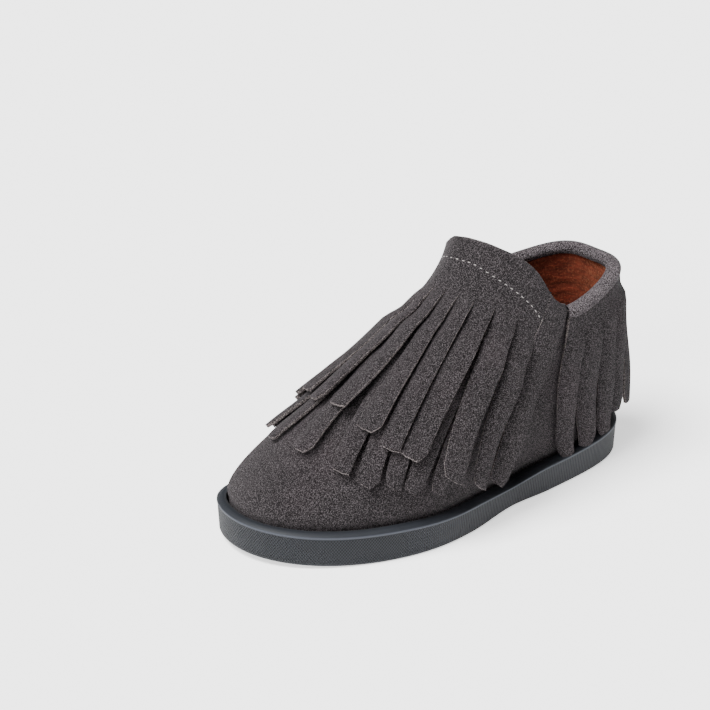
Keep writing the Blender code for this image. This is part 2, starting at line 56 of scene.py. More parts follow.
# Sole unit and last, as the solids have them
SOLE_LENGTH = 0.192
BALL_WIDTH = 0.082
HEEL_REACH = 0.030
SOLE_HEIGHT = 0.0140
DECK_HEIGHT = 0.0080
RIM_WIDTH = 0.0036
TOE_SPRING = 0.0026
ARCH_RISE = 0.0012
WAIST_DIP = 0.0024
WALL = 0.0026
FRONT_HEIGHT = 0.1050
SIDE_HEIGHT = 0.0790
BACK_HEIGHT = 0.0845
COLLAR_LENGTH = 0.0780
COLLAR_WIDTH = 0.0580
COLLAR_BACK = 0.0065
GAP = 0.0003

# Fringe and zip
FRONT_BAND = 0.0205
LOWER_TOP = 0.0440
LOWER_BAND = 0.0520
ROLL_HEIGHT = 0.0055
HEEL_BAND = 0.0095
TIER_RAMP = 0.0100
TIP_CUT = 0.0024
NOTCH_SLIT = 0.0008
BAND_SLANT = 0.0080
SLIT = 0.00030
TAPE_WIDTH = 0.0096
TAPE_THICKNESS = 0.0008
ZIP_MARGIN = 0.0004
ZIP_DROP = 0.0560
CHAIN_WIDTH = 0.0042
CHAIN_PROUD = 0.0010
SLIDER_DROP = 0.0075
SLIDER_LENGTH = 0.0090
TOOTH_PITCH = 0.0015

# Outline of the sole seen from above, from the heel round the outer side to the toe and back.
SOLE_OUTLINE = (
    # along: share of the length from the heel, across: share of the ball width, + outer side
    (0.000, 0.000),
    (0.055, 0.235),
    (0.200, 0.351),
    (0.420, 0.422),
    (0.640, 0.510),
    (0.820, 0.427),
    (0.945, 0.240),
    (1.000, -0.042),
    (0.955, -0.348),
    (0.840, -0.465),
    (0.680, -0.485),
    (0.440, -0.375),
    (0.200, -0.335),
    (0.055, -0.225),
)

# How the sole changes from the heel to the toe.
SOLE_LEVELS = (
    # along: share of the length, arch: share of the arch's rise, dip: share of the waist's dip
    # rim: the rim's width as a share of its width at the toe
    (0.00, 0.0, 0.0, 1.00),
    (0.30, 0.0, 0.5, 1.10),
    (0.43, 1.0, 1.0, 1.35),
    (0.56, 0.0, 0.6, 1.15),
    (0.80, 0.0, 0.0, 1.00),
    (1.00, 0.0, 0.0, 1.00),
)
SPRING_START = 0.78

# Side of the sole: from the floor over the textured wall, the ridge and the bevel to the deck.
SOLE_SIDE = (
    # level: share of the rim's height, inset: share of the rim's width
    (0.000, 0.38),
    (0.020, 0.28),
    (0.050, 0.235),
    (0.100, 0.22),
    (0.140, 0.22),
    (0.280, 0.185),
    (0.420, 0.15),
    (0.560, 0.12),
    (0.700, 0.085),
    (0.800, 0.060),
    (0.845, 0.045),
    (0.862, 0.000),
    (0.885, -0.010),
    (0.910, -0.005),
    (0.935, 0.06),
    (0.960, 0.20),
    (0.985, 0.38),
    (1.000, 0.56),
    (1.002, 0.78),
    (0.985, 0.97),
)

# Lines of the last, each from the sole's edge up to the collar.
LAST_LINES = (
    # foot: place on the sole's outline
    # along, across: collar point, as shares of the collar's length and width
    # level: share of the rise from the collar's side to its front or back
    # rise, belly: how the wall leaves the sole, as shares of the front height and the ball width
    # reach, spread, drop: how it meets the collar, as shares of the ball width and the front height
    (0.00, 0.000, 0.00, 1.00, 0.26, 0.060, -0.020, 0.000, 0.20),
    (1.30, 0.110, 0.33, 0.80, 0.26, 0.050, -0.010, 0.030, 0.20),
    (2.75, 0.560, 0.50, 0.00, 0.24, 0.045, 0.030, 0.040, 0.20),
    (3.75, 0.745, 0.46, 0.62, 0.25, 0.045, 0.070, 0.050, 0.24),
    (4.75, 0.900, 0.31, 1.04, 0.24, 0.045, 0.080, 0.045, 0.27),
    (5.85, 0.965, 0.15, 1.12, 0.22, 0.045, 0.075, 0.020, 0.29),
    (7.00, 0.985, 0.00, 1.10, 0.21, 0.045, 0.065, 0.000, 0.30),
    (8.15, 0.915, -0.16, 0.92, 0.18, 0.045, 0.055, -0.010, 0.33),
    (9.25, 0.820, -0.31, 0.74, 0.18, 0.040, 0.060, -0.025, 0.32),
    (10.30, 0.690, -0.44, 0.45, 0.21, 0.035, 0.060, -0.040, 0.25),
    (11.25, 0.550, -0.50, 0.00, 0.24, 0.030, 0.030, -0.030, 0.20),
    (12.70, 0.110, -0.33, 0.80, 0.26, 0.040, -0.010, -0.030, 0.20),
)
LINES = len(LAST_LINES)
NOTCH_LINE = 2
ZIP_LINE = 10
LOWER_FIRST = 3.20
LOWER_LAST = 8.90

# Strips of the front fringe's upper tier, from the notch on the outer side round to the zip.
FRONT_STRIPS = (
    # tip: place round the last, reach: length from the collar as a share of the front height
    # width: at the tip, in millimetres, lift: how far the tip stands off, in thicknesses of the suede
    # clip: the corner cut off, -1 to 1, over: how far its rear edge lies over its neighbour, in thicknesses
    # bend: how far its middle bends to the side, in millimetres
    (2.56, 0.745, 8.6, 0.6, -1, 2.6, 2.0),
    (2.94, 0.820, 7.4, 0.9, 1, 2.0, 1.8),
    (3.41, 0.872, 9.8, 0.5, 1, 2.0, 1.2),
    (4.04, 0.883, 8.8, 0.9, -1, 1.8, 0.4),
    (4.40, 0.889, 8.0, 0.4, 1, 1.8, 0.8),
    (4.87, 0.869, 8.8, 0.9, -1, 1.8, 0.6),
    (5.62, 0.834, 8.2, 0.6, 1, 1.8, -1.0),
    (6.16, 0.847, 8.0, 0.5, -1, 0.8, -0.8),
    (6.75, 0.830, 8.4, 0.3, 1, 0.8, 0.5),
    (7.20, 0.860, 8.4, 0.5, -1, 0.8, -0.6),
    (7.66, 0.875, 8.6, 0.2, 1, 0.8, 0.8),
    (8.08, 0.860, 8.4, 0.4, 1, 0.8, -0.4),
    (8.57, 0.825, 8.8, 0.6, -1, 1.6, 0.7),
    (9.03, 0.780, 8.8, 0.9, 1, 1.6, -0.5),
    (9.47, 0.690, 8.2, 0.7, 1, 1.6, 0.4),
)

# Strips of the front fringe's lower tier, in the same columns.
LOWER_STRIPS = (
    (3.48, 0.940, 7.2, 0.5, 1, 0.9, 0.3),
    (3.82, 0.985, 7.0, 0.9, -1, 0.9, -0.4),
    (4.10, 1.002, 6.8, 0.4, 1, 0.9, 0.4),
    (4.45, 1.044, 7.8, 1.0, -1, 0.9, 0.3),
    (4.93, 1.045, 8.6, 0.6, 1, 0.9, -0.5),
    (5.66, 1.046, 8.2, 0.9, -1, 0.9, 0.6),
    (6.41, 1.057, 7.4, 0.3, 1, 0.5, -0.5),
    (7.04, 1.030, 8.0, 0.5, -1, 0.5, 0.4),
    (7.53, 1.010, 8.0, 0.2, 1, 0.5, -0.4),
    (7.93, 0.970, 7.6, 0.4, -1, 0.5, 0.5),
    (8.28, 0.940, 7.4, 0.5, 1, 0.9, -0.3),
    (8.63, 0.880, 7.4, 0.8, -1, 0.9, 0.3),
)

# Strips of the fringe round the heel, from the zip round the back to the notch, in the same columns.
HEEL_STRIPS = (
    (-1.50, 0.600, 6.6, 0.5, 1, 1.7, 0.3),
    (-1.27, 0.610, 6.6, 0.9, -1, 1.7, -0.4),
    (-1.04, 0.600, 6.6, 0.6, 1, 1.7, 0.4),
    (-0.80, 0.590, 6.6, 1.1, -1, 1.7, -0.3),
    (-0.56, 0.570, 6.6, 0.7, 1, 1.7, 0.4),
    (-0.32, 0.580, 6.6, 1.2, -1, 1.7, -0.4),
    (-0.08, 0.560, 6.6, 0.8, 1, 1.7, 0.3),
    (0.16, 0.560, 6.6, 1.2, 1, 1.7, -0.5),
    (0.41, 0.560, 6.6, 0.8, -1, 1.7, 0.4),
    (0.66, 0.600, 6.2, 3.4, 1, 1.7, -0.4),
    (0.91, 0.600, 6.6, 0.7, -1, 1.7, 0.5),
    (1.16, 0.650, 6.6, 1.1, 1, 1.7, 1.0),
    (1.40, 0.645, 6.8, 0.6, -1, 1.7, 1.6),
    (1.63, 0.642, 6.8, 0.9, 1, 1.7, 2.2),
)
BAND_ROWS = 14
STRIP_ROWS = 18
STRIP_COLUMNS = 8

# Soft troughs (-) and ridges (+) of the upper, each a line from one point to another.
CREASES = (
    # place, distance down from the collar, the same at its other end, half width and height
    (2.10, 0.050, 2.45, 0.068, 0.0070, 0.0016),
    (2.05, 0.032, 2.35, 0.050, 0.0050, -0.0012),
    (1.75, 0.060, 2.05, 0.070, 0.0040, -0.0008),
    (3.00, 0.074, 4.60, 0.110, 0.0050, 0.0005),
    (5.60, 0.112, 6.70, 0.118, 0.0060, -0.0004),
    (9.60, 0.058, 9.95, 0.070, 0.0050, -0.0009),
)
PLACE_WIDTH = 0.030

COLUMNS_PER_LINE = 40
LAST_ROWS = 96


def clamp(value, low=0.0, high=1.0):
    return max(low, min(high, value))


def ease(share):
    """A smooth step from 0 to 1."""
    share = clamp(share)
    return share * share * (3 - 2 * share)


def mix(a, b, share):
    return a + (b - a) * share


def colour(code):
    """A hex colour turned to linear, with an alpha of 1."""
    parts = [int(code[i : i + 2], 16) / 255 for i in (1, 3, 5)]
    linear = [c / 12.92 if c <= 0.04045 else ((c + 0.055) / 1.055) ** 2.4 for c in parts]
    return (*linear, 1.0)


def smooth_loop(rows):
    """A closed curve of even curvature through the rows, which lie one unit apart."""
    points = np.array(rows, float)
    count = len(points)
    unit = np.eye(count)
    system = 4 * unit + np.roll(unit, 1, 0) + np.roll(unit, -1, 0)
    slopes = np.linalg.solve(system, 3 * (np.roll(points, -1, 0) - np.roll(points, 1, 0)))

    def at(place):
        here = math.floor(place)
        s = place - here
        here = here % count
        after = (here + 1) % count
        return (
            (2 * s**3 - 3 * s**2 + 1) * points[here]
            + (s**3 - 2 * s**2 + s) * slopes[here]
            + (3 * s**2 - 2 * s**3) * points[after]
            + (s**3 - s**2) * slopes[after]
        )

    return at


sole_outline = smooth_loop(SOLE_OUTLINE)


def share_along(x):
    return (x + HEEL_REACH) / SOLE_LENGTH


def sole_level(along, column):
    """One column of the table of the sole's levels, eased between its rows."""
    along = clamp(along)
    for low, high in zip(SOLE_LEVELS, SOLE_LEVELS[1:]):
        if along <= high[0]:
            return mix(low[column], high[column], ease((along - low[0]) / (high[0] - low[0])))
    return SOLE_LEVELS[-1][column]


def toe_lift(along):
    return TOE_SPRING * clamp((along - SPRING_START) / (1 - SPRING_START)) ** 2


def underside(along):
    return ARCH_RISE * sole_level(along, 1) + toe_lift(along)


def deck_top(along):
    return DECK_HEIGHT + toe_lift(along)


def rim_top(along):
    return SOLE_HEIGHT - WAIST_DIP * sole_level(along, 2) + toe_lift(along)


def rim_width(along):
    return RIM_WIDTH * sole_level(along, 3)


def edge_point(place, inset):
    """A point in plan, an inset in from the sole's outline."""
    size = np.array((SOLE_LENGTH, BALL_WIDTH))
    here = sole_outline(place) * size
    run = (sole_outline(place + 0.02) - sole_outline(place - 0.02)) * size
    outward = np.array((-run[1], run[0])) / np.hypot(*run)
    return here - outward * inset - np.array((HEEL_REACH, 0))


def rim_point(place, share, extra, height):
    """A point at a share of the rim's width in from the outline, and at the height of a function."""
    width = rim_width(sole_outline(place)[0])
    plan = edge_point(place, share * width + extra)
    return np.array((*plan, height(share_along(plan[0]))))


last_loop = smooth_loop(
    [
        (
            foot - len(SOLE_OUTLINE) * number / LINES,
            COLLAR_BACK - HEEL_REACH + along * COLLAR_LENGTH,
            across * COLLAR_WIDTH,
            mix(SIDE_HEIGHT, FRONT_HEIGHT if NOTCH_LINE < number < ZIP_LINE else BACK_HEIGHT, level),
            rise * FRONT_HEIGHT,
            belly * BALL_WIDTH,
            reach * BALL_WIDTH,
            spread * BALL_WIDTH,
            drop * FRONT_HEIGHT,
        )
        for number, (foot, along, across, level, rise, belly, reach, spread, drop) in enumerate(LAST_LINES)
    ]
)


def make_last():
    """Points and outward directions of the last, in even steps round it and down it, and its lengths."""
    lines = []
    lengths = []
    t = np.linspace(0, 1, LAST_ROWS + 1)[:, None]
    for column in range(LINES * COLUMNS_PER_LINE):
        place = column / COLUMNS_PER_LINE
        foot_shift, x, y, z, rise, belly, reach, spread, drop = last_loop(place)
        foot_place = foot_shift + len(SOLE_OUTLINE) * place / LINES
        collar = np.array((x, y, z))
        under_collar = collar + np.array((reach, spread, -drop))
        foot = rim_point(foot_place, 1, GAP, rim_top)
        outward = rim_point(foot_place, 0, 0, rim_top) - foot
        outward[2] = 0
        over_foot = foot + outward / np.linalg.norm(outward) * belly + np.array((0, 0, rise))
        points = (
            (1 - t) ** 3 * collar
            + 3 * (1 - t) ** 2 * t * under_collar
            + 3 * (1 - t) * t**2 * over_foot
            + t**3 * foot
        )
        run = np.concatenate(([0], np.cumsum(np.linalg.norm(np.diff(points, axis=0), axis=1))))
        even = np.linspace(0, run[-1], LAST_ROWS + 1)
        lines.append(np.stack([np.interp(even, run, points[:, axis]) for axis in range(3)], axis=1))
        lengths.append(run[-1])
    surface = np.array(lines)
    around = np.roll(surface, -1, 0) - np.roll(surface, 1, 0)
    normals = np.cross(around, np.gradient(surface, axis=1))
    normals /= np.linalg.norm(normals, axis=2, keepdims=True)
    return surface, normals, np.array(lengths)


LAST_SURFACE, LAST_NORMALS, LAST_LENGTHS = make_last()


def column_beside(place):
    """The two columns of the last beside a place, and the share between them."""
    column = place % LINES * COLUMNS_PER_LINE
    low = int(column)
    return low % len(LAST_LENGTHS), (low + 1) % len(LAST_LENGTHS), column - low


def line_length(place):
    low, high, share = column_beside(place)
    return mix(LAST_LENGTHS[low], LAST_LENGTHS[high], share)


def on_last(table, place, distance):
    low, high, side = column_beside(place)
    row = clamp(distance / line_length(place)) * LAST_ROWS
    up = min(int(row), LAST_ROWS - 1)
    down = row - up
    left = mix(table[low, up], table[low, up + 1], down)
    right = mix(table[high, up], table[high, up + 1], down)
    return mix(left, right, side)


def crease(place, distance):
    """How far the soft folds of the upper move a point out, in metres."""
    lift = 0.0
    spot = np.array((place * PLACE_WIDTH, distance))
    for first, high, last, low, half, height in CREASES:
        start = np.array((first * PLACE_WIDTH, high))
        run = np.array((last * PLACE_WIDTH, low)) - start
        share = clamp(np.dot(spot - start, run) / np.dot(run, run))
        away = np.linalg.norm(spot - start - run * share)
        if away < 3 * half:
            lift += height * math.exp(-((away / half) ** 2)) * math.sin(math.pi * (0.15 + 0.7 * share))
    return lift


def skin(place, distance, lift=0.0):
    """A point on the upper's surface, or lifted off it, at a distance down from the collar."""
    out = on_last(LAST_NORMALS, place, distance)
    point = on_last(LAST_SURFACE, place, distance) + out * (lift + crease(place, distance))
    length = line_length(place)
    if distance > length:
        point[2] -= distance - length
    if distance < 0:
        point += (on_last(LAST_SURFACE, place, 0) - on_last(LAST_SURFACE, place, 0.001)) * -distance / 0.001
    return point


def folded(place, run, outer, inner):
    """A point on leather folded over the collar, at a run from its top down the outer side, or up inside if less."""
    radius = (outer - inner) / 2
    if run >= radius:
        return skin(place, run, outer)
    turn = (radius - run) / radius
    if turn > math.pi:
        return skin(place, radius + (turn - math.pi) * radius, inner)
    centre = skin(place, radius, (outer + inner) / 2)
    out = on_last(LAST_NORMALS, place, radius)
    up = centre - skin(place, radius + 0.001, (outer + inner) / 2)
    up = up / np.linalg.norm(up)
    return centre + (out * math.cos(turn) + up * math.sin(turn)) * radius


def place_beside(place, side, distance=0.0):
    """The place round the last that lies a real width to the side of another one."""
    turn = math.copysign(0.1, side)
    run = on_last(LAST_SURFACE, place + turn, distance) - on_last(LAST_SURFACE, place, distance)
    return place + side * 0.1 / np.linalg.norm(run)


def shaped_grid(bm, across, along, shape, size=(1.0, 1.0), surface=0):
    """Adds a grid of faces and puts its points where a function of its two shares says, with UVs in metres."""
    made = bmesh.ops.create_grid(bm, x_segments=across, y_segments=along, size=0.5)
    uv = bm.loops.layers.uv.verify()
    shares = {vert: (vert.co.x + 0.5, vert.co.y + 0.5) for vert in made["verts"]}
    faces = {face for vert in made["verts"] for face in vert.link_faces}
    for face in faces:
        face.material_index = surface
        for loop in face.loops:
            u, v = shares[loop.vert]
            loop[uv].uv = (u * size[0], v * size[1])
    for vert, (u, v) in shares.items():
        vert.co = shape(u, v)
    return made["verts"]


def add_piece(name, bm, looks, replaced=(), body="boot", angle=50):
    """A finished piece from a mesh in the making, riding on its body."""
    mesh = bpy.data.meshes.new(name)
    bm.to_mesh(mesh)
    bm.free()
    for look in looks:
        mesh.materials.append(look)
    mesh.shade_smooth()
    mesh.set_sharp_from_angle(angle=math.radians(angle))
    piece = bpy.data.objects.new(name, mesh)
    bpy.context.scene.collection.objects.link(piece)
    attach(piece, body)
    if replaced:
        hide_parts(*replaced)
    return piece


def thicken(piece, thickness, offset, rim=0, edge=0.00025):
    """Gives a sheet its thickness, with its cut edges in another material and slightly rounded."""
    wall = piece.modifiers.new("thickness", "SOLIDIFY")
    wall.thickness = thickness
    wall.offset = offset
    wall.material_offset_rim = rim
    if edge:
        soft = piece.modifiers.new("soft edges", "BEVEL")
        soft.width = edge
        soft.segments = 2
        soft.material = rim or -1
        soft.limit_method = "ANGLE"
        soft.angle_limit = math.radians(50)


def add_node(tree, kind, inputs=None, **settings):
    """Adds a node with its settings, and fills its inputs with values or with other nodes' outputs."""
    node = tree.nodes.new(kind)
    for key, value in settings.items():
        setattr(node, key, value)
    for key, value in (inputs or {}).items():
        if isinstance(value, bpy.types.NodeSocket):
            tree.links.new(value, node.inputs[key])
        else:
            node.inputs[key].default_value = value
    return node


def new_look(name, **values):
    """A material with its shader's own values set."""
    look = bpy.data.materials.new(name)
    look.use_nodes = True
    shader = look.node_tree.nodes["Principled BSDF"]
    for key, value in values.items():
        shader.inputs[key.replace("_", " ")].default_value = value
    return look, look.node_tree, shader


def blend_colours(tree, factor, first, second, mode="MIX"):
    """The output of a node that mixes two colours."""
    node = add_node(tree, "ShaderNodeMix", {0: factor, 6: first, 7: second}, data_type="RGBA", blend_type=mode)
    return node.outputs[2]


def suede_look(name, dark, middle, light, nap=1.0):
    """Split cowhide suede, sanded to a short nap: mottled where the nap lies this way or that, with a soft bloom."""
    look, tree, shader = new_look(
        name,
        Roughness=0.95,
        Specular_IOR_Level=0.12,
        Sheen_Weight=0.10,
        Sheen_Roughness=0.45,
        Sheen_Tint=colour("#a79fa2"),
    )
    spot = add_node(tree, "ShaderNodeTexCoord").outputs["Object"]
    # stroked patches about 16 mm across, tufts about 0.7 mm and the nap itself at 0.3 mm
    patches = add_node(tree, "ShaderNodeTexNoise", {"Vector": spot, "Scale": 62.0, "Detail": 3.0, "Roughness": 0.5})
    tufts = add_node(tree, "ShaderNodeTexNoise", {"Vector": spot, "Scale": 1500.0, "Detail": 2.0, "Roughness": 0.7})
    fibres = add_node(tree, "ShaderNodeTexNoise", {"Vector": spot, "Scale": 3100.0, "Detail": 1.0, "Roughness": 0.7})
    warmth = add_node(tree, "ShaderNodeTexNoise", {"Vector": spot, "Scale": 34.0, "Detail": 1.0})
    soft = add_node(
        tree, "ShaderNodeMapRange", {"Value": patches.outputs["Fac"], "From Min": 0.35, "From Max": 0.68}
    ).outputs["Result"]
    base = blend_colours(tree, soft, colour(dark), colour(middle))
    warm = add_node(
        tree, "ShaderNodeMapRange", {"Value": warmth.outputs["Fac"], "From Min": 0.45, "From Max": 0.70, "To Max": 0.5}
    ).outputs["Result"]
    base = blend_colours(tree, warm, base, colour("#2c2427"))
    part = add_node(tree, "ShaderNodeMath", {0: tufts.outputs["Fac"], 1: 0.4}, operation="MULTIPLY").outputs[0]
    grain = add_node(
        tree, "ShaderNodeMath", {0: fibres.outputs["Fac"], 1: 1.6, 2: part}, operation="MULTIPLY_ADD"
    ).outputs[0]
    speck = add_node(
        tree, "ShaderNodeMapRange", {"Value": grain, "From Min": 1.02, "From Max": 1.22, "To Max": 1.0}
    ).outputs["Result"]
    base = blend_colours(tree, speck, base, colour(light))
    # partly painted shade: the speckle is the nap's own grain, and its low points are darkened towards black as the
    # shade between its fibres
    painted_nap_shade = add_node(
        tree, "ShaderNodeMapRange", {"Value": grain, "From Min": 0.82, "From Max": 1.02, "To Min": 0.06, "To Max": 1.0}
    ).outputs["Result"]
    grey = add_node(tree, "ShaderNodeCombineColor", {0: painted_nap_shade, 1: painted_nap_shade, 2: painted_nap_shade}).outputs["Color"]
    base = blend_colours(tree, 1.0, base, grey, "MULTIPLY")
    tree.links.new(base, shader.inputs["Base Color"])
    bump = add_node(tree, "ShaderNodeBump", {"Strength": 0.8 * nap, "Distance": 0.0006, "Height": grain})
    tree.links.new(bump.outputs["Normal"], shader.inputs["Normal"])
    return look


def lining_look():
    """Brushed felt lining in rust orange: short matted pile with small rucks, so it lights up at its edges."""
    look, tree, shader = new_look(
        "rust brushed felt", Roughness=1.0, Specular_IOR_Level=0.1, Sheen_Weight=0.5, Sheen_Roughness=0.5
    )
    shader.inputs["Sheen Tint"].default_value = colour("#d08a66")
    spot = add_node(tree, "ShaderNodeTexCoord").outputs["Object"]
    flat = add_node(tree, "ShaderNodeMapping", {"Vector": spot, "Scale": (1.0, 1.0, 3.2)}).outputs["Vector"]
    rucks = add_node(tree, "ShaderNodeTexNoise", {"Vector": flat, "Scale": 190.0, "Detail": 3.0, "Roughness": 0.6})
    pile = add_node(tree, "ShaderNodeTexNoise", {"Vector": spot, "Scale": 1100.0, "Detail": 2.0, "Roughness": 0.7})
    tone = add_node(
        tree, "ShaderNodeMapRange", {"Value": rucks.outputs["Fac"], "From Min": 0.35, "From Max": 0.7}
    ).outputs["Result"]
    base = blend_colours(tree, tone, colour("#37110c"), colour("#5a2217"))
    speck = add_node(
        tree, "ShaderNodeMapRange", {"Value": pile.outputs["Fac"], "From Min": 0.5, "From Max": 0.8, "To Max": 0.5}
    ).outputs["Result"]
    base = blend_colours(tree, speck, base, colour("#94563b"))
    tree.links.new(base, shader.inputs["Base Color"])
    height = add_node(
        tree, "ShaderNodeMath", {0: rucks.outputs["Fac"], 1: pile.outputs["Fac"]}, operation="ADD"
    ).outputs[0]
    bump = add_node(tree, "ShaderNodeBump", {"Strength": 0.6, "Distance": 0.0009, "Height": height})
    tree.links.new(bump.outputs["Normal"], shader.inputs["Normal"])
    return look


def wave(tree, value, pitch, shift=0.0):
    """The output of a sine with a pitch in metres."""
    scaled = add_node(
        tree, "ShaderNodeMath", {0: value, 1: 2 * math.pi / pitch, 2: shift}, operation="MULTIPLY_ADD"
    ).outputs[0]
    return add_node(tree, "ShaderNodeMath", {0: scaled}, operation="SINE").outputs[0]


def foxing_look():
    """Moulded rubber side of the sole: fine ribs at the sides that turn to a cross-hatch at the toe, a smooth lip."""
    look, tree, shader = new_look("slate moulded rubber side", Roughness=0.62, IOR=1.52, Specular_IOR_Level=0.25)
    coords = add_node(tree, "ShaderNodeTexCoord")
    spot = coords.outputs["Object"]
    flat = add_node(tree, "ShaderNodeSeparateXYZ", {"Vector": coords.outputs["UV"]})
    along, up = flat.outputs["X"], flat.outputs["Y"]
    x = add_node(tree, "ShaderNodeSeparateXYZ", {"Vector": spot}).outputs["X"]
    # the real ribs are about 0.8 mm apart, and are drawn 1.1 mm apart so that they show
    ribs = wave(tree, along, 0.0011)
    steep = add_node(tree, "ShaderNodeMath", {0: up, 1: 0.8}, operation="MULTIPLY").outputs[0]
    left = wave(tree, add_node(tree, "ShaderNodeMath", {0: along, 1: steep}).outputs[0], 0.0012)
    right = wave(
        tree, add_node(tree, "ShaderNodeMath", {0: along, 1: steep}, operation="SUBTRACT").outputs[0], 0.0012
    )
    hatch = add_node(tree, "ShaderNodeMath", {0: left, 1: right}, operation="ADD").outputs[0]
    toe = add_node(
        tree, "ShaderNodeMapRange", {"Value": x, "From Min": 0.085, "From Max": 0.125}
    ).outputs["Result"]
    waist = add_node(
        tree, "ShaderNodeMapRange", {"Value": x, "From Min": 0.030, "From Max": 0.060, "To Min": 0.35}
    ).outputs["Result"]
    ribs = add_node(tree, "ShaderNodeMath", {0: ribs, 1: waist}, operation="MULTIPLY").outputs[0]
    pattern = add_node(tree, "ShaderNodeMix", {0: toe, 2: ribs, 3: hatch}).outputs[0]
    # only the wall between the floor edge and the lip is textured
    wall_low = add_node(
        tree, "ShaderNodeMapRange", {"Value": up, "From Min": 0.0006, "From Max": 0.0012}
    ).outputs["Result"]
    wall_high = add_node(
        tree, "ShaderNodeMapRange", {"Value": up, "From Min": 0.0116, "From Max": 0.0120, "To Min": 1.0, "To Max": 0.0}
    ).outputs["Result"]
    wall = add_node(tree, "ShaderNodeMath", {0: wall_low, 1: wall_high}, operation="MULTIPLY").outputs[0]
    relief = add_node(tree, "ShaderNodeMath", {0: pattern, 1: wall}, operation="MULTIPLY").outputs[0]
    grain = add_node(tree, "ShaderNodeTexNoise", {"Vector": spot, "Scale": 1400.0, "Detail": 2.0})
    dust = add_node(tree, "ShaderNodeTexNoise", {"Vector": spot, "Scale": 60.0, "Detail": 4.0, "Roughness": 0.65})
    tone = add_node(
        tree, "ShaderNodeMapRange", {"Value": dust.outputs["Fac"], "From Min": 0.35, "From Max": 0.7}
    ).outputs["Result"]
    base = blend_colours(tree, tone, colour("#0d0e11"), colour("#111317"))
    # painted highlight and shade: the crests of the ribs and the cross-hatch are painted paler and their hollows
    # darker, following the relief
    light = add_node(
        tree, "ShaderNodeMapRange", {"Value": relief, "From Min": -0.5, "From Max": 1.1, "To Max": 0.9}
    ).outputs["Result"]
    base = blend_colours(tree, light, base, colour("#2b2f36"))
    # painted highlight: the ridge at the wall's top is painted paler, as where light catches it
    ridge_low = add_node(
        tree, "ShaderNodeMapRange", {"Value": up, "From Min": 0.0117, "From Max": 0.0121}
    ).outputs["Result"]
    ridge_high = add_node(
        tree, "ShaderNodeMapRange", {"Value": up, "From Min": 0.0126, "From Max": 0.0130, "To Min": 1.0, "To Max": 0.0}
    ).outputs["Result"]
    ridge = add_node(tree, "ShaderNodeMath", {0: ridge_low, 1: ridge_high}, operation="MULTIPLY").outputs[0]
    ridge = add_node(tree, "ShaderNodeMath", {0: ridge, 1: 0.55}, operation="MULTIPLY").outputs[0]
    base = blend_colours(tree, ridge, base, colour("#454952"))
    tree.links.new(base, shader.inputs["Base Color"])
    fine = add_node(tree, "ShaderNodeMath", {0: grain.outputs["Fac"], 1: 0.25}, operation="MULTIPLY").outputs[0]
    height = add_node(tree, "ShaderNodeMath", {0: relief, 1: fine}, operation="ADD").outputs[0]
    bump = add_node(tree, "ShaderNodeBump", {"Strength": 0.9, "Distance": 0.00040, "Height": height})
    tree.links.new(bump.outputs["Normal"], shader.inputs["Normal"])
    return look


def rubber_look(name="slate moulded rubber", base="#121417", worn="#1a1d22"):
    """Moulded rubber of the tread: matt, with a fine mould grain and a little dust."""
    look, tree, shader = new_look(name, Roughness=0.65, IOR=1.52, Specular_IOR_Level=0.4)
    spot = add_node(tree, "ShaderNodeTexCoord").outputs["Object"]
    dust = add_node(tree, "ShaderNodeTexNoise", {"Vector": spot, "Scale": 90.0, "Detail": 4.0, "Roughness": 0.65})
    grain = add_node(tree, "ShaderNodeTexNoise", {"Vector": spot, "Scale": 1400.0, "Detail": 2.0})
    tone = add_node(
        tree, "ShaderNodeMapRange", {"Value": dust.outputs["Fac"], "From Min": 0.35, "From Max": 0.7}
    ).outputs["Result"]
    tree.links.new(blend_colours(tree, tone, colour(base), colour(worn)), shader.inputs["Base Color"])
    bump = add_node(tree, "ShaderNodeBump", {"Strength": 0.3, "Distance": 0.0002, "Height": grain.outputs["Fac"]})
    tree.links.new(bump.outputs["Normal"], shader.inputs["Normal"])
    return look


def tape_look():
    """Woven polyester zip tape in black: threads about 0.5 mm apart in a fine twill."""
    look, tree, shader = new_look("black woven polyester tape", Roughness=0.85, Sheen_Weight=0.2)
    coords = add_node(tree, "ShaderNodeTexCoord")
    flat = add_node(tree, "ShaderNodeSeparateXYZ", {"Vector": coords.outputs["UV"]})
    warp = wave(tree, flat.outputs["X"], 0.0005)
    slope = add_node(
        tree, "ShaderNodeMath", {0: flat.outputs["X"], 1: flat.outputs["Y"]}, operation="ADD"
    ).outputs[0]
    weft = wave(tree, slope, 0.0008)
    weave = add_node(tree, "ShaderNodeMath", {0: warp, 1: weft}, operation="ADD").outputs[0]
    tone = add_node(tree, "ShaderNodeMapRange", {"Value": weave, "From Min": -1.5, "From Max": 1.8}).outputs["Result"]
    tree.links.new(blend_colours(tree, tone, colour("#161618"), colour("#34343a")), shader.inputs["Base Color"])
    bump = add_node(tree, "ShaderNodeBump", {"Strength": 0.6, "Distance": 0.00015, "Height": weave})
    tree.links.new(bump.outputs["Normal"], shader.inputs["Normal"])
    return look


